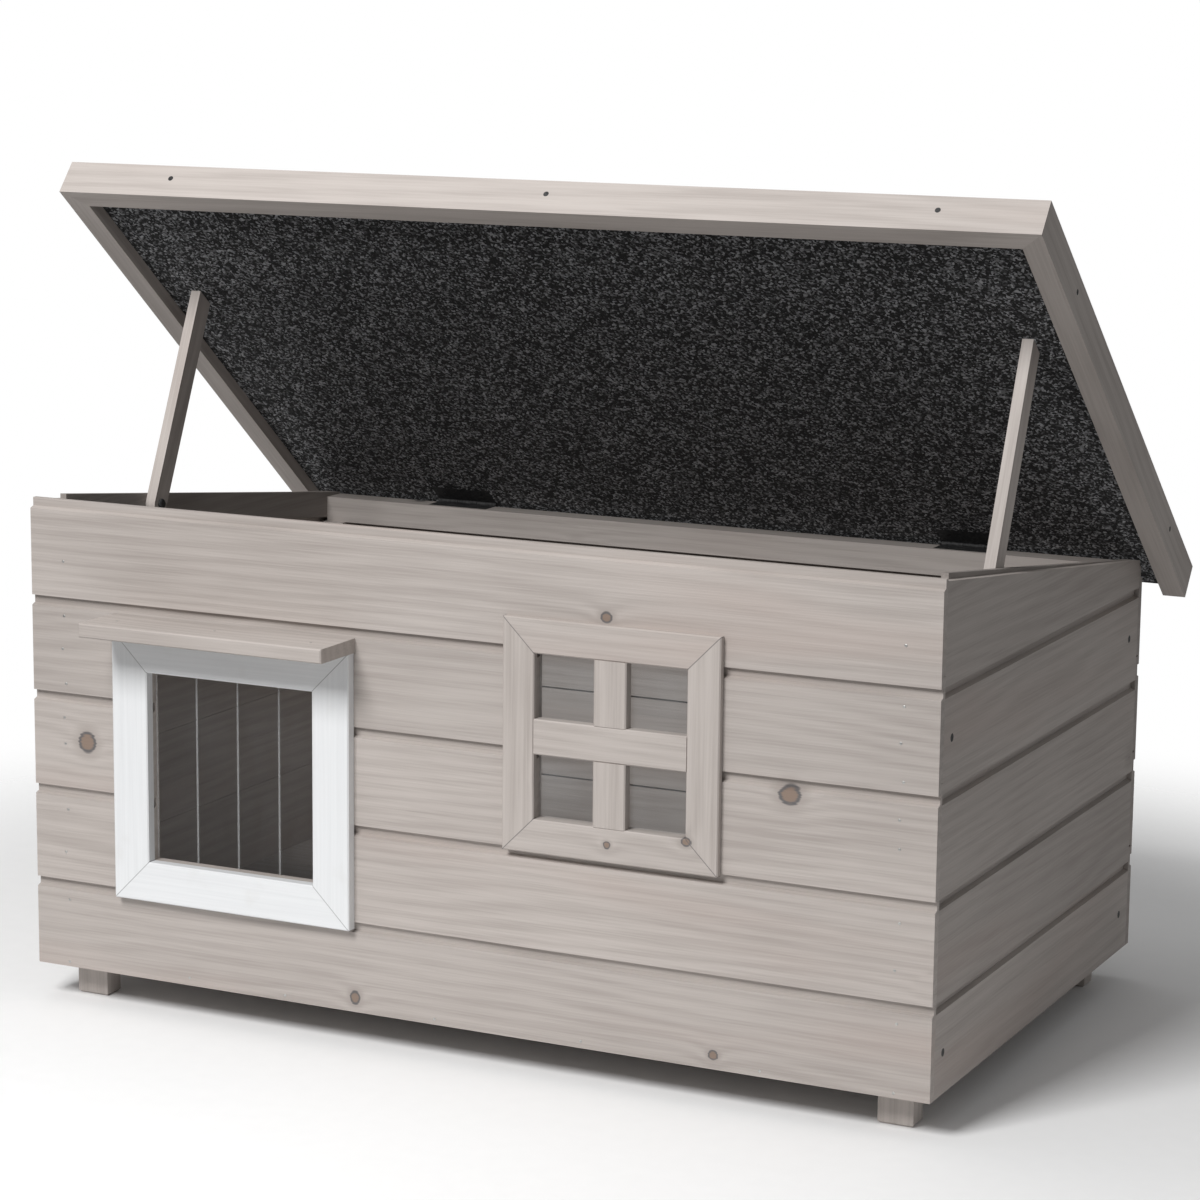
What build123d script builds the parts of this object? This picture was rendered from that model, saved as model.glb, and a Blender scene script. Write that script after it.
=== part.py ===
"""Outdoor cat house: shiplap cabin on feet, strip curtain door, barred window and a
framed felt lid that is hinged at the back and held open by two folding props."""

from build123d import *
from math import cos, sin, atan2, radians
import os

os.makedirs("parts", exist_ok=True)

# Cabin outline, in millimetres
cabin_width = 800.0
cabin_depth = 489.0
foot_height = 30.0

# Shiplap boards of the front and the sides
board_thickness = 8.3
tongue_thickness = 4.1
lap_clearance = 0.2
board_pitch = 80.1
first_board_pitch = 74.9
tongue_showing = 7.7
tongue_overlap = 8.4
ledge_fall = 1.6
front_board_count = 5
front_top_height = 396.2
side_top_drop = 1.9

# Shiplap boards of the back
back_pitch = 83.75
back_first_pitch = 80.3
back_tongue_showing = 10.0
back_tongue_overlap = 7.0
back_top_height = 333.4
side_over_back = 5.6

# Floor, posts, feet, rail and side cleats
floor_top = 10.0
floor_thickness = 8.3
floor_board_width = 112.5
floor_seam_chamfer = 0.8
post_width = 26.0
front_post_depth = 22.7
rear_post_depth = 30.0
front_post_top_drop = 8.2
rail_height = 22.8
rail_depth = 24.0
cleat_thickness = 5.9
cleat_height = 24.0
rail_below_cleat = 1.4
foot_width = 29.0
foot_depth = 19.5
foot_side_inset = 22.0
front_foot_inset = 25.5
rear_foot_inset = 31.4
foot_chamfer = 1.5

# Door: opening, white frame, canopy and strip curtain
door_left_inset = 117.2
door_width = 155.9
door_bottom = 102.8
door_height = 159.1
door_frame_width = 33.6
door_frame_thickness = 9.0
frame_edge_bevel = 1.0
canopy_depth = 53.5
canopy_thickness = 11.6
canopy_side_extra = 1.5
strip_count = 4
strip_gap = 0.5
strip_thickness = 1.0
strip_setback = 5.0
strip_floor_gap = 1.0
curtain_head_height = 14.0
curtain_pocket_extra = 2.0
curtain_swing_gap = 0.5

# Window: opening, frame, bars and pane
window_right_inset = 200.6
window_width = 129.6
window_bottom = 180.4
window_height = 131.0
window_frame_width = 27.2
window_frame_thickness = 5.8
window_bar_width = 28.0
window_upright_width = 27.6
window_bar_thickness = 9.0
pane_thickness = 2.0
pane_clearance = 0.4

# Lid
lid_overhang = 32.5
lid_trim_thickness = 19.6
lid_trim_height = 30.8
lid_trim_drop = 11.0
lid_front_reach = 491.7
lid_rear_reach = 40.3
lid_open_slope = 39.1
lining_thickness = 2.0
deck_thickness = 9.0
felt_thickness = 2.0

# Lid hinges
hinge_behind_rail = 3.3
hinge_spacing = 500.0
hinge_length = 60.0
hinge_leaf_depth = 22.0
hinge_leaf_thickness = 1.2
hinge_knuckle_radius = 2.2
hinge_pin_radius = 1.0
hinge_pin_clearance = 0.06
hinge_knuckle_gap = 0.4
hinge_screw_radius = 1.8
hinge_pocket_gap = 0.1
hinge_pocket_margin = 0.4
lining_above_hinge = 1.0

# Props that hold the lid
prop_width = 19.0
prop_thickness = 9.3
prop_lean = 23.4
prop_pivot_inset = 158.0
prop_pivot_drop = 8.546
prop_side_gap = 0.4
prop_top_gap = 0.3
prop_screw_radius = 2.0
prop_screw_clearance = 0.08
prop_screw_head_radius = 4.5
prop_screw_head_height = 2.4

# Countersunk wood screws
screw_radius = 1.6
screw_head_radius = 3.2
screw_head_height = 1.8
screw_length = 24.0
screw_low_height = 33.0
screw_high_height = 274.6

# Heights that follow the front and the back wall
side_top_front = front_top_height - side_top_drop
side_top_rear = back_top_height + side_over_back
cleat_top_front = front_top_height
cleat_top_rear = side_top_rear

# Lid hinge axis and lid size, from the values above
hinge_in_depth = cabin_depth - board_thickness + hinge_behind_rail
rail_top = cleat_top_rear - rail_below_cleat
hinge_in_height = rail_top + lining_above_hinge
lid_trim_top = lining_above_hinge - lid_trim_drop + lid_trim_height
slope = radians(lid_open_slope)
lid_rear_depth = hinge_in_depth + lid_rear_reach * cos(slope) + lid_trim_top * sin(slope)

# The origin is under the middle of the whole object, with the feet's soles at zero
front_y = -(lid_rear_depth - canopy_depth) / 2
back_y = front_y + cabin_depth
base_z = foot_height
right_x = cabin_width / 2
left_x = -right_x
inner_x = right_x - board_thickness
cleat_inner_x = inner_x - cleat_thickness
hinge_y = front_y + hinge_in_depth
hinge_z = base_z + hinge_in_height


def block(x_range, y_range, z_range):
    """A plain squared timber between two places on each axis."""
    with BuildPart() as timber:
        with Locations((x_range[0], y_range[0], z_range[0])):
            Box(
                x_range[1] - x_range[0],
                y_range[1] - y_range[0],
                z_range[1] - z_range[0],
                align=(Align.MIN, Align.MIN, Align.MIN),
            )
    return timber


def shiplap_outline(bottom, ledge, top, lapped, place):
    """Corners of a board's section: a face, a sloping ledge, a tongue and a rabbet under it."""
    lap = tongue_thickness - lap_clearance
    lap_height = tongue_overlap + 2 * lap_clearance
    corners = [(0, bottom), (0, ledge - ledge_fall / 2)]
    corners += [(tongue_thickness, ledge + ledge_fall / 2), (tongue_thickness, top)]
    corners += [(board_thickness, top)]
    if lapped:
        corners += [(board_thickness, bottom + lap_height), (lap, bottom + lap_height)]
        corners += [(lap, bottom)]
    else:
        corners += [(board_thickness, bottom)]
    return [place(depth, height) for depth, height in corners]


def board_levels(pitch, first_pitch, showing, overlap, count, last_top):
    """Bottom, ledge and top height of each board of a wall, from the lowest up."""
    levels = []
    bottom = 0.0
    for index in range(count):
        following = bottom + (first_pitch if index == 0 else pitch)
        top = following + overlap
        if index == count - 1:
            top = last_top
            following = last_top
        levels.append((bottom, following - showing, top, index > 0))
        bottom = following
    return levels


front_levels = board_levels(
    board_pitch, first_board_pitch, tongue_showing, tongue_overlap, front_board_count, front_top_height
)
back_levels = board_levels(
    back_pitch, back_first_pitch, back_tongue_showing, back_tongue_overlap, 4, back_top_height
)


def front_board(level):
    """One board over the whole width of the front."""
    bottom, ledge, top, lapped = level
    outline = shiplap_outline(
        bottom, ledge, top, lapped, lambda depth, height: (front_y + depth, base_z + height)
    )
    with BuildPart() as board:
        with BuildSketch(Plane.YZ.offset(left_x)):
            with BuildLine():
                Polyline(outline, close=True)
            make_face()
        extrude(amount=cabin_width)
    return board


def back_board(level):
    """One board over the whole width of the back."""
    bottom, ledge, top, lapped = level
    outline = shiplap_outline(
        bottom, ledge, top, lapped, lambda depth, height: (back_y - depth, base_z + height)
    )
    with BuildPart() as board:
        with BuildSketch(Plane.YZ.offset(left_x)):
            with BuildLine():
                Polyline(outline, close=True)
            make_face()
        extrude(amount=cabin_width)
    return board


def opening_cutter(left, width, bottom, height):
    """A block through the front wall, for a door or window cut-out."""
    return block(
        (left, left + width),
        (front_y - 1, front_y + board_thickness + 1),
        (base_z + bottom, base_z + bottom + height),
    )


# Door and window places
door_left = left_x + door_left_inset
door_right = door_left + door_width
door_top = door_bottom + door_height
door_pocket_height = door_height + curtain_head_height + curtain_pocket_extra
window_right = right_x - window_right_inset
window_left = window_right - window_width
window_top = window_bottom + window_height
door_cut = opening_cutter(door_left, door_width, door_bottom, door_pocket_height)
window_cut = opening_cutter(window_left, window_width, window_bottom, window_height)


def export(part, name):
    """Labels a finished piece and writes its file."""
    part.label = name
    export_step(part, "parts/" + name + ".step")


# Front wall boards, cut round the door and the window
front_pieces = []
for number, level in enumerate(front_levels, start=1):
    blank = front_board(level)
    with BuildPart() as front_wall_board:
        add(blank.part)
        add(door_cut.part, mode=Mode.SUBTRACT)
        add(window_cut.part, mode=Mode.SUBTRACT)
    pieces = front_wall_board.part.solids().sort_by(Axis.X)
    if len(pieces) == 1:
        front_pieces.append(("front_board_%d" % number, pieces[0]))
    else:
        front_pieces.append(("front_board_%d_left" % number, pieces[0]))
        front_pieces.append(("front_board_%d_right" % number, pieces[-1]))
for name, solid in front_pieces:
    with BuildPart() as front_piece:
        add(solid)
    export(front_piece.part, name)

# Back wall boards
for number, level in enumerate(back_levels, start=1):
    rear_board = back_board(level)
    export(rear_board.part, "back_board_%d" % number)


def screw_at(origin, direction):
    """Countersunk wood screw whose head lies flush at the origin."""
    with BuildPart() as screw:
        with Locations(Plane(origin=origin, z_dir=direction)):
            Cone(
                screw_head_radius,
                screw_radius,
                screw_head_height,
                align=(Align.CENTER, Align.CENTER, Align.MIN),
            )
            Cylinder(screw_radius, screw_length, align=(Align.CENTER, Align.CENTER, Align.MIN))
    return screw


# Screws from the sides into the corner posts, low and high at each end
post_x = (inner_x - post_width, inner_x)
front_post_y = (front_y + board_thickness, front_y + board_thickness + front_post_depth)
rear_post_y = (back_y - board_thickness - rear_post_depth, back_y - board_thickness)
front_screw_y = front_y + board_thickness + 0.75 * front_post_depth
rear_screw_y = back_y - board_thickness - 0.75 * rear_post_depth
with BuildPart() as right_wall_screws:
    for screw_y in (front_screw_y, rear_screw_y):
        for screw_height in (screw_low_height, screw_high_height):
            add(screw_at((right_x, screw_y, base_z + screw_height), (-1, 0, 0)).part)
with BuildPart() as wall_screws:
    add(right_wall_screws.part)
    mirror(right_wall_screws.part, about=Plane.YZ)
export(wall_screws.part, "wall_screws")

# Side wall boards, between the front and the back, with the top board cut to the lid's fall
side_length = cabin_depth - 2 * board_thickness
side_fall = atan2(side_top_front - side_top_rear, side_length)
side_top_plane = Plane(
    origin=(0, front_y + board_thickness, base_z + side_top_front),
    x_dir=(1, 0, 0),
    z_dir=(0, sin(side_fall), cos(side_fall)),
)
side_levels = list(front_levels[:-1])
top_bottom = front_levels[-1][0]
# The top board has no tongue: its whole edge follows the slope
side_levels.append((top_bottom, front_top_height + 20, front_top_height + 22, True))
for number, level in enumerate(side_levels, start=1):
    bottom, ledge, top, lapped = level
    side_outline = shiplap_outline(
        bottom, ledge, top, lapped, lambda depth, height: (right_x - depth, base_z + height)
    )
    with BuildPart() as side_blank:
        with BuildSketch(Plane.XZ.offset(-(front_y + board_thickness))):
            with BuildLine():
                Polyline(side_outline, close=True)
            make_face()
        extrude(amount=-side_length)
        if number == front_board_count:
            split(bisect_by=side_top_plane, keep=Keep.BOTTOM)
        add(right_wall_screws.part, mode=Mode.SUBTRACT)
    export(side_blank.part, "right_board_%d" % number)
    with BuildPart() as left_side_board:
        mirror(side_blank.part, about=Plane.YZ)
    export(left_side_board.part, "left_board_%d" % number)

# Corner posts, screwed through the side boards
front_post_top = front_top_height - front_post_top_drop
rail_bottom = rail_top - rail_height
front_right_post = block(post_x, front_post_y, (base_z + floor_top, base_z + front_post_top))
rear_right_post = block(post_x, rear_post_y, (base_z + floor_top, base_z + rail_bottom))
with BuildPart() as front_posts:
    add(front_right_post.part)
    add(right_wall_screws.part, mode=Mode.SUBTRACT)
    mirror(about=Plane.YZ)
export(front_posts.part, "front_posts")
with BuildPart() as rear_posts:
    add(rear_right_post.part)
    add(right_wall_screws.part, mode=Mode.SUBTRACT)
    mirror(about=Plane.YZ)
export(rear_posts.part, "rear_posts")

# Floor boards with eased seams, running from side to side
floor_z = (base_z + floor_top - floor_thickness, base_z + floor_top)
inside_depth = cabin_depth - 2 * board_thickness
floor_count = int(inside_depth // floor_board_width) + 1
with BuildPart() as floor_boards:
    for index in range(floor_count):
        start = front_y + board_thickness + index * floor_board_width
        end = min(start + floor_board_width, back_y - board_thickness)
        with BuildSketch(Plane.YZ.offset(-inner_x)):
            with BuildLine():
                Polyline(
                    (start, floor_z[0]),
                    (end, floor_z[0]),
                    (end, floor_z[1] - floor_seam_chamfer),
                    (end - floor_seam_chamfer, floor_z[1]),
                    (start + floor_seam_chamfer, floor_z[1]),
                    (start, floor_z[1] - floor_seam_chamfer),
                    close=True,
                )
            make_face()
        extrude(amount=2 * inner_x)
export(floor_boards.part, "floor_boards")

# Four feet under the floor
foot_x = right_x - foot_side_inset - foot_width / 2
front_foot_y = front_y + front_foot_inset + foot_depth / 2
rear_foot_y = back_y - rear_foot_inset - foot_depth / 2
with BuildPart() as feet:
    for foot_y in (front_foot_y, rear_foot_y):
        with Locations((-foot_x, foot_y, 0), (foot_x, foot_y, 0)):
            Box(
                foot_width,
                foot_depth,
                floor_z[0],
                align=(Align.CENTER, Align.CENTER, Align.MIN),
            )
    sole_edges = feet.faces().group_by(Axis.Z)[0].edges()
    chamfer(sole_edges, length=foot_chamfer)
export(feet.part, "feet")

# Sloping cleats inside the tops of the side walls, where the props stand
cleat_y = (front_post_y[1], back_y - board_thickness)
for side, sign in (("right", 1), ("left", -1)):
    with BuildPart() as cleat:
        with BuildSketch(Plane.YZ.offset(cleat_inner_x)):
            Polygon(
                (cleat_y[0], base_z + cleat_top_front),
                (cleat_y[0], base_z + cleat_top_front - cleat_height),
                (cleat_y[1], base_z + cleat_top_rear - cleat_height),
                (cleat_y[1], base_z + cleat_top_rear),
                align=None,
            )
        extrude(amount=cleat_thickness)
        if sign < 0:
            mirror(about=Plane.YZ, mode=Mode.REPLACE)
    export(cleat.part, side + "_cleat")

# Lid hinges: a lower leaf let into the rail, an upper leaf let into the lining, and a pin
hinge_places = (-hinge_spacing / 2, hinge_spacing / 2)
outer_knuckle = (hinge_length - 2 * hinge_knuckle_gap) / 3
lid_plane = Plane(origin=(0, hinge_y, hinge_z), x_dir=(1, 0, 0), z_dir=(0, sin(slope), cos(slope)))
lower_leaf_plane = Plane(origin=(0, hinge_y, hinge_z), x_dir=(1, 0, 0), z_dir=(0, 0, 1))


def knuckle(start, length):
    """One bored barrel of the hinge, along X."""
    with BuildPart() as barrel:
        with BuildSketch(Plane.YZ.offset(start)):
            with Locations((hinge_y, hinge_z)):
                Circle(hinge_knuckle_radius)
                Circle(hinge_pin_radius + hinge_pin_clearance, mode=Mode.SUBTRACT)
        extrude(amount=length)
    return barrel


def leaf(plane, level, thickness):
    """Both hinges' flat leaves on one plane, from the axis towards the front."""
    with BuildPart() as plates:
        with BuildSketch(plane.offset(level)):
            with Locations(*[(x, -hinge_leaf_depth / 2) for x in hinge_places]):
                Rectangle(hinge_length, hinge_leaf_depth)
            with Locations(*[(x, -0.62 * hinge_leaf_depth) for x in hinge_places]):
                with GridLocations(hinge_length * 0.64, 1, 2, 1):
                    Circle(hinge_screw_radius, mode=Mode.SUBTRACT)
        extrude(amount=thickness)
    return plates


def knuckle_clearance(starts, length):
    """Space that the other leaf's barrels turn in."""
    with BuildPart() as space:
        for start in starts:
            with BuildSketch(Plane.YZ.offset(start - hinge_knuckle_gap)):
                with Locations((hinge_y, hinge_z)):
                    Circle(hinge_knuckle_radius + hinge_knuckle_gap)
            extrude(amount=length + 2 * hinge_knuckle_gap)
    return space


def pin_bores(margin):
    """Bores through both hinges for their pins."""
    with BuildPart() as bores:
        for centre in hinge_places:
            with BuildSketch(Plane.YZ.offset(centre - hinge_length / 2 - margin)):
                with Locations((hinge_y, hinge_z)):
                    Circle(hinge_pin_radius + hinge_pin_clearance)
            extrude(amount=hinge_length + 2 * margin)
    return bores


middle_starts = [x - outer_knuckle / 2 for x in hinge_places]
outer_starts = [x - hinge_length / 2 for x in hinge_places]
outer_starts += [x + outer_knuckle / 2 + hinge_knuckle_gap for x in hinge_places]
with BuildPart() as lower_leaves:
    add(leaf(lower_leaf_plane, -hinge_knuckle_radius, hinge_leaf_thickness).part)
    add(knuckle_clearance(middle_starts, outer_knuckle).part, mode=Mode.SUBTRACT)
    for start in outer_starts:
        add(knuckle(start, outer_knuckle).part)
    add(pin_bores(1).part, mode=Mode.SUBTRACT)
export(lower_leaves.part, "hinge_lower_leaves")
with BuildPart() as upper_leaves:
    add(leaf(lid_plane, hinge_knuckle_radius - hinge_leaf_thickness, hinge_leaf_thickness).part)
    add(knuckle_clearance(outer_starts, outer_knuckle).part, mode=Mode.SUBTRACT)
    for start in middle_starts:
        add(knuckle(start, outer_knuckle).part)
    add(pin_bores(1).part, mode=Mode.SUBTRACT)
export(upper_leaves.part, "hinge_upper_leaves")
with BuildPart() as hinge_pins:
    for centre in hinge_places:
        with BuildSketch(Plane.YZ.offset(centre - hinge_length / 2)):
            with Locations((hinge_y, hinge_z)):
                Circle(hinge_pin_radius)
        extrude(amount=hinge_length)
export(hinge_pins.part, "hinge_pins")


def hinge_pocket(plane, low, high):
    """Shallow recesses for both hinges, between two heights over the axis."""
    with BuildPart() as pocket:
        with BuildSketch(plane.offset(low)):
            front = -hinge_leaf_depth - hinge_pocket_margin
            rear = hinge_knuckle_radius + 2 * hinge_pocket_margin
            with Locations(*[(x, (front + rear) / 2) for x in hinge_places]):
                Rectangle(hinge_length + 2 * hinge_pocket_margin, rear - front)
        extrude(amount=high - low)
    return pocket


# Back rail over the rear posts, with the hinges' recesses
rail_y = (back_y - board_thickness - rail_depth, back_y - board_thickness)
with BuildPart() as back_rail:
    add(
        block(
            (-cleat_inner_x, cleat_inner_x), rail_y, (base_z + rail_bottom, base_z + rail_top)
        ).part
    )
    add(
        hinge_pocket(lower_leaf_plane, -hinge_knuckle_radius - hinge_pocket_gap, 0).part,
        mode=Mode.SUBTRACT,
    )
export(back_rail.part, "back_rail")


def mitred_frame(left, right, bottom, top, width, front, thickness, prefix):
    """Four mitred boards round an opening in the front wall, each its own piece."""
    outer = [
        (left - width, bottom - width),
        (right + width, bottom - width),
        (right + width, top + width),
        (left - width, top + width),
    ]
    inner = [(left, bottom), (right, bottom), (right, top), (left, top)]
    for index, side in enumerate(("bottom", "right", "top", "left")):
        after = (index + 1) % 4
        with BuildPart() as member:
            with BuildSketch(Plane.XZ.offset(-front)):
                Polygon(outer[index], outer[after], inner[after], inner[index], align=None)
            extrude(amount=thickness)
            front_face = member.faces().sort_by(Axis.Y)[0]
            rails = front_face.edges().filter_by(Axis.X if index % 2 == 0 else Axis.Z)
            chamfer(rails, length=frame_edge_bevel)
        export(member.part, prefix + "_" + side)


# White door frame and its small canopy
mitred_frame(
    door_left,
    door_right,
    base_z + door_bottom,
    base_z + door_top,
    door_frame_width,
    front_y,
    door_frame_thickness,
    "door_frame",
)
canopy_bottom = base_z + door_top + door_frame_width
with BuildPart() as door_canopy:
    add(
        block(
            (
                door_left - door_frame_width - canopy_side_extra,
                door_right + door_frame_width + canopy_side_extra,
            ),
            (front_y - canopy_depth, front_y),
            (canopy_bottom, canopy_bottom + canopy_thickness),
        ).part
    )
    canopy_edges = door_canopy.faces().sort_by(Axis.Y)[0].edges()
    chamfer(canopy_edges, length=frame_edge_bevel)
export(door_canopy.part, "door_canopy")

# Curtain: a batten and a head band that stay, and the strips that swing below them
swing_z = base_z + door_top
curtain_y = front_y + strip_setback
curtain_top = swing_z + curtain_head_height
curtain_batten = block(
    (door_left, door_right), (front_y, curtain_y), (swing_z + 1, curtain_top)
)
export(curtain_batten.part, "curtain_batten")
curtain_head = block(
    (door_left + strip_gap, door_right - strip_gap),
    (curtain_y, curtain_y + strip_thickness),
    (swing_z + curtain_swing_gap, curtain_top),
)
export(curtain_head.part, "curtain_head")
strip_pitch = door_width / strip_count
strip_bottom = base_z + door_bottom + strip_floor_gap
for index in range(strip_count):
    start = door_left + index * strip_pitch
    strip = block(
        (start + strip_gap / 2, start + strip_pitch - strip_gap / 2),
        (curtain_y, curtain_y + strip_thickness),
        (strip_bottom, swing_z - curtain_swing_gap),
    )
    export(strip.part, "curtain_strip_%d" % (index + 1))

# Window frame, bars and clear pane
mitred_frame(
    window_left,
    window_right,
    base_z + window_bottom,
    base_z + window_top,
    window_frame_width,
    front_y,
    window_frame_thickness,
    "window_frame",
)
bar_front = front_y - window_frame_thickness
bar_y = (bar_front, bar_front + window_bar_thickness)
window_middle_x = (window_left + window_right) / 2
window_middle_z = base_z + window_bottom + window_height / 2
bar_z = (window_middle_z - window_bar_width / 2, window_middle_z + window_bar_width / 2)
upright_x = (
    window_middle_x - window_upright_width / 2,
    window_middle_x + window_upright_width / 2,
)
with BuildPart() as window_crossbar:
    add(block((window_left, window_right), bar_y, bar_z).part)
    bar_edges = window_crossbar.faces().sort_by(Axis.Y)[0].edges().filter_by(Axis.X)
    chamfer(bar_edges, length=frame_edge_bevel)
export(window_crossbar.part, "window_crossbar")
with BuildPart() as window_lower_bar:
    add(block(upright_x, bar_y, (base_z + window_bottom, bar_z[0])).part)
    bar_edges = window_lower_bar.faces().sort_by(Axis.Y)[0].edges().filter_by(Axis.Z)
    chamfer(bar_edges, length=frame_edge_bevel)
export(window_lower_bar.part, "window_lower_bar")
with BuildPart() as window_upper_bar:
    add(block(upright_x, bar_y, (bar_z[1], base_z + window_top)).part)
    bar_edges = window_upper_bar.faces().sort_by(Axis.Y)[0].edges().filter_by(Axis.Z)
    chamfer(bar_edges, length=frame_edge_bevel)
export(window_upper_bar.part, "window_upper_bar")
window_pane = block(
    (window_left + pane_clearance, window_right - pane_clearance),
    (bar_y[1], bar_y[1] + pane_thickness),
    (base_z + window_bottom + pane_clearance, base_z + window_top - pane_clearance),
)
export(window_pane.part, "window_pane")

# Lid trim: a front board mitred to two side boards that end square at the back
lid_half = right_x + lid_overhang
trim_level = lining_above_hinge - lid_trim_drop
inner_half = lid_half - lid_trim_thickness
front_line = -lid_front_reach
inner_front_line = front_line + lid_trim_thickness
with BuildPart() as lid_trim_front:
    with BuildSketch(lid_plane.offset(trim_level)):
        Polygon(
            (-lid_half, front_line),
            (lid_half, front_line),
            (inner_half, inner_front_line),
            (-inner_half, inner_front_line),
            align=None,
        )
    extrude(amount=lid_trim_height)
export(lid_trim_front.part, "lid_trim_front")
with BuildPart() as lid_trim_right:
    with BuildSketch(lid_plane.offset(trim_level)):
        Polygon(
            (lid_half, front_line),
            (lid_half, lid_rear_reach),
            (inner_half, lid_rear_reach),
            (inner_half, inner_front_line),
            align=None,
        )
    extrude(amount=lid_trim_height)
export(lid_trim_right.part, "lid_trim_right")
with BuildPart() as lid_trim_left:
    mirror(lid_trim_right.part, about=Plane.YZ)
export(lid_trim_left.part, "lid_trim_left")


def lid_sheet(level, thickness):
    """A sheet that fills the trim, at a height over the hinge axis."""
    with BuildPart() as sheet:
        with BuildSketch(lid_plane.offset(level)):
            with Locations((0, (inner_front_line + lid_rear_reach) / 2)):
                Rectangle(2 * inner_half, lid_rear_reach - inner_front_line)
        extrude(amount=thickness)
    return sheet


# Lid sheets: felt lining with the hinges' recesses, wooden deck and roofing felt
deck_level = lining_above_hinge + lining_thickness
with BuildPart() as lid_lining:
    add(lid_sheet(lining_above_hinge, lining_thickness).part)
    add(
        hinge_pocket(lid_plane, 0, hinge_knuckle_radius + hinge_pocket_gap).part,
        mode=Mode.SUBTRACT,
    )
export(lid_lining.part, "lid_lining")
with BuildPart() as lid_deck:
    add(lid_sheet(deck_level, deck_thickness).part)
export(lid_deck.part, "lid_deck")
with BuildPart() as lid_felt:
    add(lid_sheet(deck_level + deck_thickness, felt_thickness).part)
export(lid_felt.part, "lid_felt")

# Props: round at the pivot, cut to the lid's slope at the top
lean = radians(prop_lean)
cleat_fall = (cleat_top_front - cleat_top_rear) / (cleat_y[1] - cleat_y[0])
cleat_top_at_prop = cleat_top_front - (front_y + prop_pivot_inset - cleat_y[0]) * cleat_fall
prop_pivot = (front_y + prop_pivot_inset, base_z + cleat_top_at_prop - prop_pivot_drop)
prop_axis = (sin(lean), cos(lean))
across = (cos(lean), -sin(lean))
lining_distance = lining_above_hinge - (
    (prop_pivot[0] - hinge_y) * sin(slope) + (prop_pivot[1] - hinge_z) * cos(slope)
)
prop_outer_x = cleat_inner_x - prop_side_gap
prop_inner_x = prop_outer_x - prop_thickness


def prop_edge_length(offset):
    """Length of a prop's edge up to the lid's lining, less the gap that it keeps."""
    drop = offset * (across[0] * sin(slope) + across[1] * cos(slope))
    along = prop_axis[0] * sin(slope) + prop_axis[1] * cos(slope)
    return (lining_distance - prop_top_gap - drop) / along


def prop_corner(length, offset):
    """A point on a prop, along it from the pivot and across it."""
    return (
        prop_pivot[0] + length * prop_axis[0] + offset * across[0],
        prop_pivot[1] + length * prop_axis[1] + offset * across[1],
    )


half_prop = prop_width / 2
with BuildPart() as right_prop:
    with BuildSketch(Plane.YZ.offset(prop_inner_x)):
        Polygon(
            prop_corner(0, -half_prop),
            prop_corner(prop_edge_length(-half_prop), -half_prop),
            prop_corner(prop_edge_length(half_prop), half_prop),
            prop_corner(0, half_prop),
            align=None,
        )
        with Locations(prop_pivot):
            Circle(half_prop)
            Circle(prop_screw_radius + prop_screw_clearance, mode=Mode.SUBTRACT)
    extrude(amount=prop_thickness)
export(right_prop.part, "right_prop")
with BuildPart() as left_prop:
    mirror(right_prop.part, about=Plane.YZ)
export(left_prop.part, "left_prop")

# Prop screws, headed on the inside and through the props
with BuildPart() as prop_screws:
    head_x = prop_inner_x - prop_side_gap
    with BuildSketch(Plane.YZ.offset(head_x)):
        with Locations(prop_pivot):
            Circle(prop_screw_radius)
    extrude(amount=prop_outer_x - head_x)
    with BuildSketch(Plane.YZ.offset(head_x)):
        with Locations(prop_pivot):
            Circle(prop_screw_head_radius)
    extrude(amount=-prop_screw_head_height)
    head_rim = prop_screws.faces().sort_by(Axis.X)[0].edges()
    chamfer(head_rim, length=prop_screw_head_height * 0.5)
    mirror(about=Plane.YZ)
export(prop_screws.part, "prop_screws")

print("hinge", round(hinge_y, 3), round(hinge_z, 3), "pivot", prop_pivot, "front", round(front_y, 3))
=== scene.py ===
# %% [markdown]
# # An outdoor cat house with a felt lid
# The joinery comes from the CAD frame: shiplap walls on feet, a white door frame with a strip
# curtain, a barred window and a hinged lid. This lesson dresses that frame. Most of the work is
# in the finishes, because sawn and glazed spruce is what makes such a house look real.

import math

import bpy
from mathutils import Matrix, Vector


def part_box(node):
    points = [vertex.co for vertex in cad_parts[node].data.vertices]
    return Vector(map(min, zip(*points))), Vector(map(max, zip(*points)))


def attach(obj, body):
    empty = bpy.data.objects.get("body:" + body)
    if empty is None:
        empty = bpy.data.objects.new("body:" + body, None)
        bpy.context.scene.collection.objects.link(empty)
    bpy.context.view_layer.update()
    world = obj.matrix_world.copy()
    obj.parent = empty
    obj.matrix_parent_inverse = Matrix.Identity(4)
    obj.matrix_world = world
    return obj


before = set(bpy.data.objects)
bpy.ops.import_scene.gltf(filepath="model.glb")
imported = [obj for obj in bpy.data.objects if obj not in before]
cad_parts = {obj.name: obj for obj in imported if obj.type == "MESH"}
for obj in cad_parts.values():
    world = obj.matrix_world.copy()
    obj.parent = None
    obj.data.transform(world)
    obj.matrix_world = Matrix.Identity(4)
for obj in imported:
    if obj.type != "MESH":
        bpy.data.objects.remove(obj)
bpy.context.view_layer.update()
MM = 0.001

# %% [markdown]
# The places of later pieces are read from the frame, so nothing drifts when a size changes.
# The lid stands open, so its own directions are needed as well: along its slope and off its face.

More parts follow.
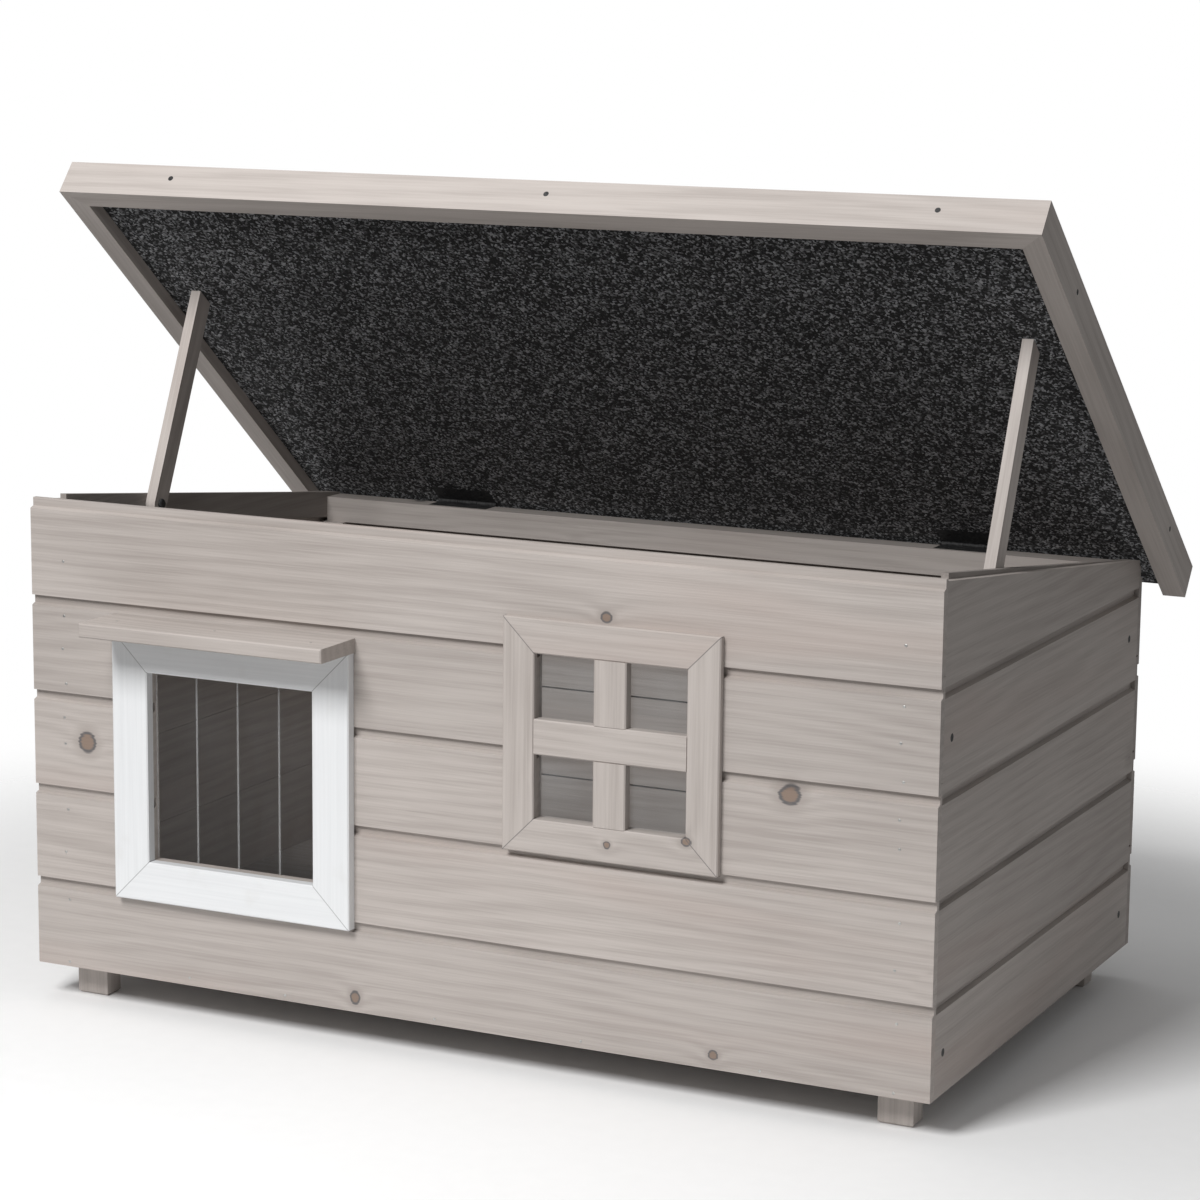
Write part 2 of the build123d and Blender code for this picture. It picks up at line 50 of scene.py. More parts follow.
# %% Measure the cabin and the lid
X, Y, Z = (1, 0, 0), (0, 1, 0), (0, 0, 1)
LID_SLOPE = math.radians(39.1)
front_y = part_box("front_board_1")[0].y
hinge_low, hinge_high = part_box("hinge_pins")
hinge_axis = (hinge_low + hinge_high) / 2
lid_half_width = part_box("lid_trim_right")[1].x
lid_back = Vector((0, math.cos(LID_SLOPE), -math.sin(LID_SLOPE)))
lid_up = Vector((0, math.sin(LID_SLOPE), math.cos(LID_SLOPE)))
print("front", round(front_y, 4), "hinge", [round(v, 4) for v in hinge_axis])

# %% [markdown]
# Long shader formulas are easier to read as arithmetic. A small class wraps a socket, so that
# plus, minus, times and divide each add one Math node, and the finish class makes other nodes.

# %% Shader arithmetic
class Field:
    """A number that varies over a surface, and can be added, multiplied and compared."""

    def __init__(self, finish, socket):
        self.finish = finish
        self.socket = socket

    def maths(self, operation, first, second=0.0):
        node = self.finish.node("ShaderNodeMath", {"operation": operation}, {0: first, 1: second})
        return Field(self.finish, node.outputs[0])

    def __add__(self, other):
        return self.maths("ADD", self, other)

    def __radd__(self, other):
        return self.maths("ADD", other, self)

    def __sub__(self, other):
        return self.maths("SUBTRACT", self, other)

    def __rsub__(self, other):
        return self.maths("SUBTRACT", other, self)

    def __mul__(self, other):
        return self.maths("MULTIPLY", self, other)

    def __rmul__(self, other):
        return self.maths("MULTIPLY", other, self)

    def __truediv__(self, other):
        return self.maths("DIVIDE", self, other)

    def function(self, operation, other=0.0):
        return self.maths(operation, self, other)


class Finish:
    """One material, whose nodes are made by a single method."""

    def __init__(self, name):
        self.material = bpy.data.materials.new(name)
        self.material.use_nodes = True
        self.tree = self.material.node_tree
        self.shader = self.tree.nodes["Principled BSDF"]

    def node(self, kind, settings, inputs):
        made = self.tree.nodes.new(kind)
        for key, value in settings.items():
            setattr(made, key, value)
        for key, value in inputs.items():
            self.feed(made.inputs[key], value)
        return made

    def feed(self, target, value):
        if isinstance(value, Field):
            value = value.socket
        if isinstance(value, bpy.types.NodeSocket):
            self.tree.links.new(value, target)
        else:
            target.default_value = value

    def place(self):
        return self.node("ShaderNodeTexCoord", {}, {}).outputs["Object"]

    def along(self, place, direction):
        node = self.node(
            "ShaderNodeVectorMath", {"operation": "DOT_PRODUCT"}, {0: place, 1: tuple(direction)}
        )
        return Field(self, node.outputs["Value"])

    def vector(self, x, y, z):
        return self.node("ShaderNodeCombineXYZ", {}, {0: x, 1: y, 2: z}).outputs[0]

    def noise(self, vector, scale, detail=3.0):
        node = self.node(
            "ShaderNodeTexNoise", {}, {"Vector": vector, "Scale": scale, "Detail": detail}
        )
        return Field(self, node.outputs[0])

    def between(self, value, low, high):
        node = self.node(
            "ShaderNodeMapRange",
            {"interpolation_type": "SMOOTHSTEP"},
            {"Value": value, "From Min": low, "From Max": high},
        )
        return Field(self, node.outputs["Result"])

    def mix(self, share, first, second):
        node = self.node(
            "ShaderNodeMix", {"data_type": "RGBA"}, {0: share, 6: first, 7: second}
        )
        return node.outputs[2]

    def bump(self, height, distance, strength):
        node = self.node(
            "ShaderNodeBump", {}, {"Strength": strength, "Distance": distance, "Height": height}
        )
        self.feed(self.shader.inputs["Normal"], node.outputs[0])

    def set(self, **values):
        for key, value in values.items():
            self.feed(self.shader.inputs[key.replace("_", " ")], value)


def rgb(red, green, blue):
    """A colour as the shader takes it."""
    return (red, green, blue, 1.0)


# %% [markdown]
# Knots are where a branch left the trunk: a brown heart, a dark blue-grey ring and a pale halo
# that the grain flows round. A few stand at chosen places on the front and the window frame.

# %% Places of the chosen knots
# Side, height, half width and half height, in millimetres.
front_knots = [
    (-347.5, 225.3, 8.5, 9.0),
    (128.5, 373.8, 5.5, 5.0),
    (282.2, 252.7, 9.5, 8.5),
    (-92.8, 42.0, 5.0, 6.0),
    (223.0, 41.2, 4.5, 4.5),
    (133.5, 197.3, 3.2, 3.2),
    (200.3, 208.0, 4.6, 4.0),
]
window_knots = front_knots[5:]
print("knots", len(front_knots))

# %% [markdown]
# A sparse cell pattern scatters more knots, so that no two boards are alike. Each cell would
# hold one, and a soft noise pushes most of them far away. What comes back is the distance to the
# nearest knot, where one is its edge.

# %% Distance to the nearest knot
CELLS_ALONG, CELLS_ACROSS = 7.0, 8.0
RADII_PER_CELL = 16.0
OUT_OF_SIGHT = 30.0


def knot_distance(finish, place, along, across, depth, knots, amount):
    cell_place = finish.vector(along * CELLS_ALONG, across * CELLS_ACROSS, depth * CELLS_ACROSS)
    cells = finish.node("ShaderNodeTexVoronoi", {}, {"Vector": cell_place, "Scale": 1.0})
    pick = finish.noise(finish.vector(along * 0.9, across * 3.0, depth * 2.0), 1.7, 0.0)
    nearest = Field(finish, cells.outputs["Distance"]) * RADII_PER_CELL
    nearest = nearest + finish.between(pick, amount - 0.02, amount) * OUT_OF_SIGHT
    side = finish.along(place, X)
    height = finish.along(place, Z)
    for knot_side, knot_height, half_side, half_height in knots:
        sideways = (side - knot_side * MM) / (half_side * MM)
        upright = (height - knot_height * MM) / (half_height * MM)
        here = (sideways * sideways + upright * upright).function("SQRT")
        nearest = nearest.function("MINIMUM", here)
    return nearest


# %% [markdown]
# The boards of a picture-style frame meet at 45 degrees, and the joint shows as a hair line. It
# lies where a point is as far from the frame's side as from its top or bottom.

# %% Mitre lines
MITRE_HALF_WIDTH = 0.00035


def mitre_line(finish, place, frame_corners):
    """One on the joints of a frame that fills the given box, and nought elsewhere."""
    low, high = frame_corners
    middle = (low + high) / 2
    half = (high - low) / 2
    side = half.x - (finish.along(place, X) - middle.x).function("ABSOLUTE")
    level = half.z - (finish.along(place, Z) - middle.z).function("ABSOLUTE")
    off_joint = (side - level).function("ABSOLUTE")
    return finish.between(off_joint, MITRE_HALF_WIDTH * 2.0, MITRE_HALF_WIDTH)


def frame_box(start):
    """Outer corners of the four boards whose names begin with start."""
    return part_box(start + "_left")[0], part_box(start + "_right")[1]


door_frame_box = frame_box("door_frame")
window_frame_box = frame_box("window_frame")

# %% [markdown]
# The glaze is thin and grey, and the spruce shows through it: long wavy rings, short fibres and
# rosy patches. The rings are a sine of the distance across the grain, pushed about by soft noise
# that is stretched along the board. Each board takes its own stretch of that noise.

# %% Grey glazed spruce
PALE_GLAZE = rgb(0.470, 0.426, 0.397)
DARK_GLAZE = rgb(0.335, 0.297, 0.274)
ROSY_GLAZE = rgb(0.430, 0.350, 0.315)
HALO_GLAZE = rgb(0.335, 0.295, 0.270)
KNOT_RING = rgb(0.120, 0.112, 0.112)
KNOT_HEART = rgb(0.235, 0.172, 0.135)
BOARD_PITCH = 0.0801
BOARD_START = 0.0248
SEED_SHIFT = 1.37
BOARD_SHIFT = 7.0
RINGS_ACROSS, RINGS_THROUGH = 520.0, 160.0
RING_DRIFT, RING_SWIRL = 44.0, 9.0
GRAIN_DEPTH, GRAIN_STRENGTH = 0.00035, 0.55


def stretched_noise(finish, fields, along_scale, cross_scale, detail):
    """Noise that is long along the grain and fine across and through it."""
    along, across, depth = fields
    place = finish.vector(along * along_scale, across * cross_scale, depth * cross_scale)
    return finish.noise(place, 1.0, detail)


def board_number(finish, across, seed):
    """A chance number from 0 to 1 that is the same all over one board."""
    board = ((across - BOARD_START) / BOARD_PITCH).function("FLOOR")
    chance = finish.node(
        "ShaderNodeTexWhiteNoise", {"noise_dimensions": "1D"}, {"W": board + seed}
    )
    return Field(finish, chance.outputs["Value"])


def glazed_spruce(
    name, along_axis, across_axis, seed, brightness=1.0,
    knots=(), amount=0.36, boards=False, mitred=None,
):
    """Spruce whose grain runs along one axis; a smaller amount scatters fewer knots."""
    finish = Finish(name)
    place = finish.place()
    across = finish.along(place, across_axis)
    depth = finish.along(place, Vector(along_axis).cross(Vector(across_axis)))
    if boards:
        own = board_number(finish, across, seed)
    else:
        own = finish.noise(finish.vector(seed * 0.1, 0.0, 0.0), 1.0)
    along = finish.along(place, along_axis) + own * BOARD_SHIFT + seed * SEED_SHIFT
    fields = (along, across, depth)
    knot = knot_distance(finish, place, along, across, depth, knots, amount)
    swirl = (knot * -0.55).function("EXPONENT")
    drift = stretched_noise(finish, fields, 1.6, 9.0, 2.0)
    fibres = stretched_noise(finish, fields, 14.0, 620.0, 4.0)
    clouds = stretched_noise(finish, fields, 5.0, 16.0, 3.0)
    patches = stretched_noise(finish, fields, 2.3, 12.0, 2.0)
    rings = across * RINGS_ACROSS + depth * RINGS_THROUGH
    rings = (rings + drift * RING_DRIFT + swirl * RING_SWIRL).function("SINE")
    grain = (rings * 0.5 + 0.5) * 0.13 + fibres * 0.45 + clouds * 0.42
    ragged = knot + (fibres - 0.5) * 0.5 + (clouds - 0.5) * 0.5
    colour = finish.mix(finish.between(grain, 0.28, 0.82), PALE_GLAZE, DARK_GLAZE)
    colour = finish.mix(finish.between(patches, 0.54, 0.74) * 0.42, colour, ROSY_GLAZE)
    colour = finish.mix(finish.between(ragged, 2.1, 1.0) * 0.6, colour, HALO_GLAZE)
    colour = finish.mix(finish.between(ragged, 1.08, 0.86), colour, KNOT_RING)
    colour = finish.mix(finish.between(ragged, 0.80, 0.55), colour, KNOT_HEART)
    if mitred:
        colour = finish.mix(mitre_line(finish, place, mitred) * 0.75, colour, KNOT_RING)
    # Each board's own tone times the copy's brightness; the darker copies for back, side and floor
    # boards and inner timbers are painted shade for the inside of the house.
    level = (own * 0.10 + 0.95) * brightness
    shade = finish.vector(level, level, level)
    toned = finish.node("ShaderNodeVectorMath", {"operation": "MULTIPLY"}, {0: colour, 1: shade})
    finish.set(Base_Color=toned.outputs[0], Roughness=fibres * 0.22 + 0.52)
    height = rings * 0.10 + fibres + finish.between(ragged, 0.7, 1.1) * 0.9
    finish.bump(height, GRAIN_DEPTH, GRAIN_STRENGTH)
    return finish.material


# %% [markdown]
# The door frame is the one painted part. Opaque white hides the grain, but brush marks still run
# along each piece, and the gloss changes slightly where the paint is thin.

# %% White paint
THICK_PAINT = rgb(0.76, 0.77, 0.78)
THIN_PAINT = rgb(0.71, 0.72, 0.73)
PAINT_DUST = rgb(0.62, 0.61, 0.59)
PAINT_JOINT = rgb(0.22, 0.22, 0.22)


def white_paint(name, along_axis, across_axis, seed):
    finish = Finish(name)
    place = finish.place()
    along = finish.along(place, along_axis) + seed
    across = finish.along(place, across_axis)
    depth = finish.along(place, Vector(along_axis).cross(Vector(across_axis)))
    brush = stretched_noise(finish, (along, across, depth), 9.0, 480.0, 3.0)
    dust = finish.noise(place, 38.0, 4.0)
    joints = mitre_line(finish, place, door_frame_box)
    colour = finish.mix(finish.between(brush, 0.25, 0.8), THICK_PAINT, THIN_PAINT)
    colour = finish.mix(finish.between(dust, 0.58, 0.80) * 0.25, colour, PAINT_DUST)
    colour = finish.mix(joints * 0.6, colour, PAINT_JOINT)
    finish.set(Base_Color=colour, Roughness=brush * 0.2 + 0.34)
    finish.bump(brush * 0.8 + dust * 0.4, 0.00025, 0.4)
    return finish.material


# %% [markdown]
# Roofing felt is bitumen with crushed slate pressed into it. Each cell of a fine Voronoi pattern
# is one granule: most are near black, some are grey, and a few catch the light.

# %% Mineral roofing felt
BITUMEN = rgb(0.0085, 0.0087, 0.0094)
SLATE = (0.25, 0.253, 0.262)
GRANULES_PER_METRE = 560.0


def mineral_felt(name, brightness):
    finish = Finish(name)
    place = finish.place()
    wobble = finish.noise(place, 260.0, 2.0)
    shove = finish.vector(wobble * 0.0035, wobble * -0.0030, wobble * 0.0028)
    moved = finish.node("ShaderNodeVectorMath", {"operation": "ADD"}, {0: place, 1: shove})
    granule = finish.node(
        "ShaderNodeTexVoronoi", {}, {"Vector": moved.outputs[0], "Scale": GRANULES_PER_METRE}
    )
    tone = finish.along(granule.outputs["Color"], (0.6, 0.4, 0.0))
    spread = finish.noise(place, 90.0, 3.0)
    light = finish.between(tone + (spread - 0.5) * 0.4, 0.45, 0.98)
    colour = finish.mix(light, BITUMEN, rgb(*(channel * brightness for channel in SLATE)))
    distance = Field(finish, granule.outputs["Distance"])
    finish.set(Base_Color=colour, Roughness=light * -0.2 + 0.92)
    finish.bump(1.0 - distance + light * 0.4, 0.0009, 0.8)
    return finish.material


# %% [markdown]
# The curtain strips and the pane are clear. Clear sheet shows best at its cut edges, where light
# leaves it, so a painted highlight makes the strips whiter and more opaque in a thin line down both
# sides. Hand marks and dust haze strips and pane a little.

# %% Clear plastics
strip_low, strip_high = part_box("curtain_strip_1")
next_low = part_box("curtain_strip_2")[0]
strip_pitch = next_low.x - strip_low.x
strips_start = (strip_high.x + next_low.x) / 2 - strip_pitch


def clear_strip():
    finish = Finish("clear_strip_pvc")
    place = finish.place()
    side = (finish.along(place, X) - strips_start) / strip_pitch
    off_centre = (side.function("FRACT") - 0.5).function("ABSOLUTE")
    # painted highlight: a whiter, more opaque line at each cut edge of the strips
    painted_edge_highlight = finish.between(off_centre, 0.478, 0.492)
    haze = finish.noise(finish.vector(side * 3.0, 0.0, finish.along(place, (0, 0, 9.0))), 1.6, 4.0)
    colour = finish.mix(painted_edge_highlight, rgb(0.30, 0.31, 0.32), rgb(0.80, 0.82, 0.83))
    opacity = painted_edge_highlight * 0.30 + haze * 0.05 + 0.01
    finish.set(Base_Color=colour, Roughness=haze * 0.2 + 0.08, Alpha=opacity)
    finish.set(Specular_IOR_Level=0.5)
    finish.bump(haze, 0.002, 0.35)
    return finish.material


def clear_pane():
    finish = Finish("clear_pane_acrylic")
    place = finish.place()
    haze = finish.noise(place, 22.0, 5.0)
    colour = finish.mix(haze, rgb(0.34, 0.35, 0.36), rgb(0.55, 0.57, 0.58))
    finish.set(Base_Color=colour, Roughness=haze * 0.14 + 0.05, Alpha=haze * 0.10 + 0.02)
    finish.bump(haze, 0.0008, 0.2)
    return finish.material


# %% [markdown]
# Small metal parts: zinc plate goes blotchy and slightly rough, and the hinges take a much darker
# and duller plate. The black coating of the screws and pins wears to bare steel in specks.

# %% Metals
def plated_steel(name, dark, light, roughness, metallic):
    finish = Finish(name)
    place = finish.place()
    spangle = finish.noise(place, 420.0, 4.0)
    scuff = finish.noise(place, 1900.0, 2.0)
    colour = finish.mix(finish.between(spangle, 0.35, 0.7), dark, light)
    finish.set(
        Base_Color=colour, Metallic=metallic, Roughness=spangle * 0.25 + scuff * 0.1 + roughness
    )
    finish.bump(scuff + spangle * 0.5, 0.0001, 0.4)
    return finish.material


# %% [markdown]
# Wood grain follows each timber: across the front, along the sides, up the posts and along the
# lean of the props. One material per direction keeps that true, and a different seed keeps
# neighbours from sharing a pattern.

# %% Make the finishes
PROP_LEAN = math.radians(23.4)
prop_axis = (0, math.sin(PROP_LEAN), math.cos(PROP_LEAN))
prop_across = (0, math.cos(PROP_LEAN), -math.sin(PROP_LEAN))
# Each copy also takes its own brightness. The back boards (0.78), side boards (0.92), inner timbers
# (0.7) and floor boards (0.66) are darker as painted shade for the dim inside of the house, which
# darkens the outer faces of back and sides as well. The other values scale the colour a little up
# or down.
wood = {
    "front": glazed_spruce(
        "front_board_glaze", X, Z, 1, 1.0, knots=front_knots, amount=0.30, boards=True
    ),
    "back": glazed_spruce("back_board_glaze", X, Z, 2, 0.78, amount=0.42, boards=True),
    "right": glazed_spruce("right_board_glaze", Y, Z, 3, 0.92, amount=0.38, boards=True),
    "left": glazed_spruce("left_board_glaze", Y, Z, 4, 0.92, amount=0.38, boards=True),
    "level": glazed_spruce("level_timber_glaze", X, Z, 5, 1.04),
    "upright": glazed_spruce("upright_timber_glaze", Z, X, 6, 1.04),
    "window_level": glazed_spruce(
        "window_frame_level", X, Z, 16, 1.02, knots=window_knots, mitred=window_frame_box
    ),
    "window_upright": glazed_spruce(
        "window_frame_upright", Z, X, 17, 1.02, knots=window_knots, mitred=window_frame_box
    ),
    "canopy": glazed_spruce("canopy_glaze", X, Y, 7, 1.02),
    "lid_front": glazed_spruce("lid_front_glaze", X, lid_up, 8, 1.04),
    "lid_side": glazed_spruce("lid_side_glaze", lid_back, lid_up, 9, 1.02),
    "deck": glazed_spruce("deck_board_wood", X, lid_back, 10, 0.9),
    "prop": glazed_spruce("prop_glaze", prop_axis, prop_across, 11, 1.12, amount=0.2),
    "inner": glazed_spruce("inner_timber", Y, Z, 12, 0.7),
    "rail": glazed_spruce("rail_timber", X, Z, 13, 0.95, amount=0.44),
    "floor": glazed_spruce("floor_board_wood", X, Y, 14, 0.66),
    "foot": glazed_spruce("foot_timber", Z, X, 15, 1.0),
}
white = {
    "level": white_paint("white_paint_level", X, Z, 1),
    "upright": white_paint("white_paint_upright", Z, X, 2),
}
felt = mineral_felt("mineral_felt", 1.6)
strip_plastic = clear_strip()
pane_plastic = clear_pane()
zinc = plated_steel("zinc_plate", rgb(0.42, 0.42, 0.41), rgb(0.62, 0.62, 0.60), 0.28, 0.9)
# The hinges and their screws take a zinc far darker and duller than the plain plate.
dull_zinc = plated_steel(
    "dull_zinc_plate", rgb(0.020, 0.020, 0.021), rgb(0.06, 0.06, 0.06), 0.5, 0.4
)
black_steel = plated_steel(
    "black_coated_steel", rgb(0.012, 0.012, 0.013), rgb(0.05, 0.05, 0.05), 0.38, 0.3
)
print("finishes", len(bpy.data.materials))

# %% [markdown]
# A CAD node keeps its shape and only takes a finish. The start of its name says which.

# %% Dress the frame's own pieces
finish_by_name = [
    ("front_board", wood["front"]),
    ("back_board", wood["back"]),
    ("right_board", wood["right"]),
    ("left_board", wood["left"]),
    ("back_rail", wood["rail"]),
    ("curtain_batten", wood["rail"]),
    ("curtain", strip_plastic),
    ("door_canopy", wood["canopy"]),
    ("door_frame_bottom", white["level"]),
    ("door_frame_top", white["level"]),
    ("door_frame", white["upright"]),
    ("feet", wood["foot"]),
    ("floor_boards", wood["floor"]),
    ("front_posts", wood["foot"]),
    ("rear_posts", wood["foot"]),
    ("hinge", dull_zinc),
    ("left_cleat", wood["inner"]),
    ("right_cleat", wood["inner"]),
    ("left_prop", wood["prop"]),
    ("right_prop", wood["prop"]),
    ("lid_deck", wood["deck"]),
    ("lid_felt", felt),
    ("lid_lining", felt),
    ("lid_trim_front", wood["lid_front"]),
    ("lid_trim", wood["lid_side"]),
    ("prop_screws", black_steel),
    ("wall_screws", black_steel),
    ("window_pane", pane_plastic),
    ("window_crossbar", wood["level"]),
    ("window_frame_bottom", wood["window_level"]),
    ("window_frame_top", wood["window_level"]),
    ("window_frame", wood["window_upright"]),
    ("window", wood["upright"]),
]
for node_name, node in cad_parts.items():
    chosen = next(material for start, material in finish_by_name if node_name.startswith(start))
    node.data.materials.clear()
    node.data.materials.append(chosen)
print("dressed", len(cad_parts))

# %% [markdown]
# Pins, nails and screws are tiny, but the eye reads them as proof that boards are fixed to
# something. A head starts as a short cylinder. Its top face is inset and raised into a shallow
# dome, and a screw's is then inset again and pushed down for the driver.

# %% Model one head
HEAD_SIDES = 20
SMOOTH_ANGLE = math.radians(50)


def select_top(piece):
    """Goes into edit mode with only the highest face selected."""
    bpy.ops.object.mode_set(mode="EDIT")
    bpy.ops.mesh.select_mode(type="FACE")
    bpy.ops.mesh.select_all(action="DESELECT")
    bpy.ops.object.mode_set(mode="OBJECT")
    highest = max(piece.data.polygons, key=lambda face: face.center.z * 1000 + face.normal.z)
    highest.select = True
    bpy.ops.object.mode_set(mode="EDIT")


def model_head(name, radius, height, recess):
    bpy.ops.object.select_all(action="DESELECT")
    bpy.ops.mesh.primitive_cylinder_add(
        vertices=HEAD_SIDES, radius=radius, depth=height, location=(0, 0, height / 2)
    )
    head = bpy.context.object
    head.name = name
    bpy.ops.object.transform_apply(location=True)
    select_top(head)
    bpy.ops.mesh.inset(thickness=radius * 0.35)
    bpy.ops.transform.translate(value=(0, 0, height * 0.35))
    if recess:
        bpy.ops.mesh.inset(thickness=radius * 0.25)
        bpy.ops.transform.translate(value=(0, 0, -height * 0.6))
    bpy.ops.object.mode_set(mode="OBJECT")
    bpy.ops.object.shade_smooth_by_angle(angle=SMOOTH_ANGLE)
    return head


# %% [markdown]
# The pattern head is copied to each place with a mesh of its own, turned to face outwards, and
# tied to the body that it moves with.

# %% Place copies of a head
def place_heads(pattern, name, spots, facing, body, material):
    """Copies the head to each spot, each with its own mesh, looking along facing."""
    turn = Vector((0, 0, 1)).rotation_difference(Vector(facing)).to_matrix().to_4x4()
    for number, spot in enumerate(spots, start=1):
        head = pattern.copy()
        head.data = pattern.data.copy()
        head.name = name + "_" + str(number)
        bpy.context.collection.objects.link(head)
        head.data.transform(Matrix.Translation(Vector(spot)) @ turn)
        head.data.materials.clear()
        head.data.materials.append(material)
        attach(head, body)
    print(name, len(spots))


# %% [markdown]
# The lid's frame is pinned through its face: three dark pins in front and two in each side. They
# stand a tenth of a millimetre off the wood, so that they show without catching a hand.

# %% Lid pins
PIN_LEVEL = 8.0
PIN_SINK = 0.44 * MM
LID_FRONT_FACE = -491.7
FRONT_PIN_SIDES = (-329.0, 20.0, 347.0)
SIDE_PIN_REACHES = (43.5, 392.0)


def on_lid(side, back, up):
    """A point given sideways, towards the back and off the hinge, in millimetres."""
    return Vector((side * MM, hinge_axis.y, hinge_axis.z)) + lid_back * back * MM + lid_up * up * MM


pin_head = model_head("lid_pin_head", 2.6 * MM, 0.4 * MM, False)
front_spots = [
    on_lid(side, LID_FRONT_FACE, PIN_LEVEL) + lid_back * PIN_SINK for side in FRONT_PIN_SIDES
]
place_heads(pin_head, "lid_front_pin", front_spots, -lid_back, "lid", black_steel)
for side_name, sign in (("right", 1), ("left", -1)):
    spots = [
        on_lid(sign * lid_half_width / MM, -reach, PIN_LEVEL) - Vector((sign * PIN_SINK, 0, 0))
        for reach in SIDE_PIN_REACHES
    ]
    pin_name = "lid_" + side_name + "_pin"
    place_heads(pin_head, pin_name, spots, (sign, 0, 0), "lid", black_steel)
bpy.data.objects.remove(pin_head)

# %% [markdown]
# Thin bright nails hold the front boards to the posts behind them, and more fix the canopy. Two
# to a board is usual, set a little unevenly by hand.

# %% Board and canopy nails
NAIL_SINK = 0.35 * MM
NAIL_WANDER = 1.6
NAIL_HEIGHTS = (34.0, 88.0, 128.9, 165.6, 221.9, 244.0, 272.9, 302.0, 329.7, 375.4)
NAIL_COLUMNS = (-369.0, 371.0)
BOTTOM_ROW_HEIGHT = 35.5
BOTTOM_ROW_SIDES = (-250.1, -158.4, -20.0, 110.0, 262.0)
CANOPY_NAIL_PLACES = ((-296.0, 30.0), (-205.0, 28.0), (-114.0, 31.0))

nail_head = model_head("nail_head", 1.15 * MM, 0.5 * MM, False)
front_nails = []
for number, height in enumerate(NAIL_HEIGHTS):
    wander = NAIL_WANDER * math.sin(number * 2.4)
    for side in NAIL_COLUMNS:
        front_nails.append(((side + wander) * MM, front_y + NAIL_SINK, height * MM))
for side in BOTTOM_ROW_SIDES:
    height = BOTTOM_ROW_HEIGHT + math.sin(side)
    front_nails.append((side * MM, front_y + NAIL_SINK, height * MM))
place_heads(nail_head, "front_nail", front_nails, (0, -1, 0), "cabin", zinc)
canopy_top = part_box("door_canopy")[1].z
canopy_nails = [
    (side * MM, front_y - forward * MM, canopy_top - NAIL_SINK)
    for side, forward in CANOPY_NAIL_PLACES
]
place_heads(nail_head, "canopy_nail", canopy_nails, Z, "cabin", zinc)
bpy.data.objects.remove(nail_head)

# %% [markdown]
# Each hinge leaf has two countersunk screws. Their heads fill the leaf's holes and lie just
# below its face, so the leaves can close on each other.

# %% Hinge screws
HINGE_CENTRES = (-250.0, 250.0)
SCREW_OFFSETS = (-19.2, 19.2)
SCREW_REACH = 13.64
SCREW_LEVEL = 2.15

screw_head = model_head("hinge_screw_head", 1.75 * MM, 0.8 * MM, True)
lower_y = hinge_axis.y - SCREW_REACH * MM
lower_z = hinge_axis.z - SCREW_LEVEL * MM
screw_sides = [centre + offset for centre in HINGE_CENTRES for offset in SCREW_OFFSETS]
lower_spots = [Vector((side * MM, lower_y, lower_z)) for side in screw_sides]
upper_spots = [on_lid(side, -SCREW_REACH, SCREW_LEVEL) for side in screw_sides]
place_heads(screw_head, "lower_hinge_screw", lower_spots, Z, "cabin", dull_zinc)
place_heads(screw_head, "upper_hinge_screw", upper_spots, -lid_up, "lid", dull_zinc)
bpy.data.objects.remove(screw_head)

# %% [markdown]
# The floor is pale and fades out into a white surround, so it keeps the soft shadow under the
# house and nothing else.

# %% Floor
FLOOR_SIZE = 9.0
FLOOR_LEVEL = -0.0004
FADE_START, FADE_END = 0.6, 1.15

bpy.ops.object.select_all(action="DESELECT")
bpy.ops.mesh.primitive_plane_add(size=FLOOR_SIZE, location=(0, 0, FLOOR_LEVEL))
floor = bpy.context.object
floor.name = "studio_floor"
floor_finish = Finish("studio_floor_paper")
floor_place = floor_finish.place()
paper = floor_finish.noise(floor_place, 60.0, 3.0)
paper_colour = floor_finish.mix(paper, rgb(0.93, 0.93, 0.93), rgb(0.96, 0.96, 0.96))
floor_x = floor_finish.along(floor_place, X)
floor_y = floor_finish.along(floor_place, Y)
from_middle = (floor_x * floor_x + floor_y * floor_y).function("SQRT")
floor_alpha = floor_finish.between(from_middle, FADE_END, FADE_START)
floor_finish.set(Base_Color=paper_colour, Roughness=0.9, Alpha=floor_alpha)
floor.data.materials.append(floor_finish.material)

# %% [markdown]
# One big soft lamp stands in front, a little to the left and well above, so the front is light
# and the side falls into shade. A weaker one hangs overhead. The surround adds an even light of
# its own, and looks plain white.

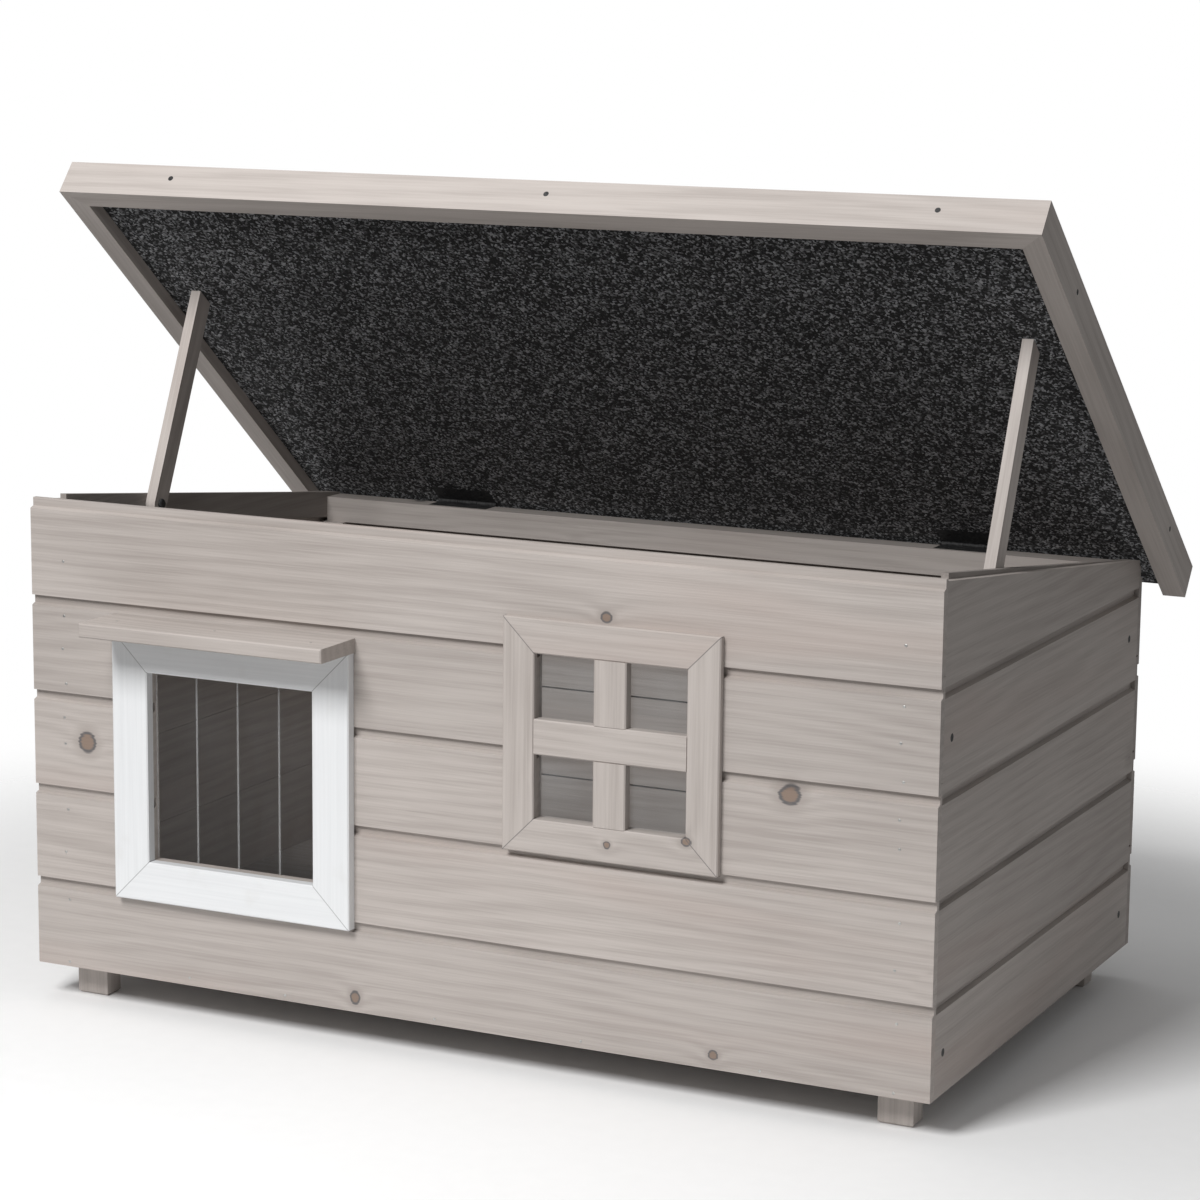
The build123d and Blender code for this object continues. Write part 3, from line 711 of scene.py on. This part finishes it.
# %% Light
def soft_lamp(name, direction, distance, size, power, aim):
    bpy.ops.object.light_add(type="AREA")
    lamp = bpy.context.object
    lamp.name = name
    lamp.location = Vector(aim) + Vector(direction).normalized() * distance
    lamp.rotation_euler = Vector(direction).to_track_quat("Z", "Y").to_euler()
    lamp.data.size = size
    lamp.data.energy = power


soft_lamp("key_lamp", (-0.14, -0.80, 0.60), distance=2.6, size=0.9, power=63.0, aim=(0, 0, 0.45))
soft_lamp("top_lamp", (-0.2, 0.1, 1.0), distance=3.0, size=2.5, power=16.0, aim=(0, 0, 0.4))
LIGHT_ON_OBJECT = 0.25
PLAIN_WHITE = 1.0
surround = bpy.data.worlds.new("white_surround")
bpy.context.scene.world = surround
surround.use_nodes = True
sky = surround.node_tree
background = sky.nodes["Background"]
background.inputs["Color"].default_value = rgb(1, 1, 1)
seen = sky.nodes.new("ShaderNodeLightPath")
strength = sky.nodes.new("ShaderNodeMapRange")
strength.inputs["To Min"].default_value = LIGHT_ON_OBJECT
strength.inputs["To Max"].default_value = PLAIN_WHITE
sky.links.new(seen.outputs["Is Camera Ray"], strength.inputs["Value"])
sky.links.new(strength.outputs[0], background.inputs["Strength"])

# %% [markdown]
# The camera stands to the right, about half a metre above the lid's hinge, with a long lens.

# %% Camera
CAMERA_PLACE = (1.24161, -2.54221, 0.8561)
CAMERA_TURN = 0.45189
CAMERA_PITCH = -0.1811
CAMERA_ROLL = 0.01017
SENSOR_WIDTH = 36.0
FOCAL_PIXELS = 3424.5
PICTURE_PIXELS = 1200.0

bpy.ops.object.camera_add(location=CAMERA_PLACE)
camera = bpy.context.object
camera.name = "photo_camera"
turned = Matrix.Rotation(CAMERA_TURN, 4, "Z")
pitched = Matrix.Rotation(math.pi / 2 + CAMERA_PITCH, 4, "X")
rolled = Matrix.Rotation(CAMERA_ROLL, 4, "Z")
camera.rotation_euler = (turned @ pitched @ rolled).to_euler()
camera.data.sensor_width = SENSOR_WIDTH
camera.data.lens = SENSOR_WIDTH * FOCAL_PIXELS / PICTURE_PIXELS
bpy.context.scene.camera = camera
bpy.context.scene.view_settings.view_transform = "Standard"
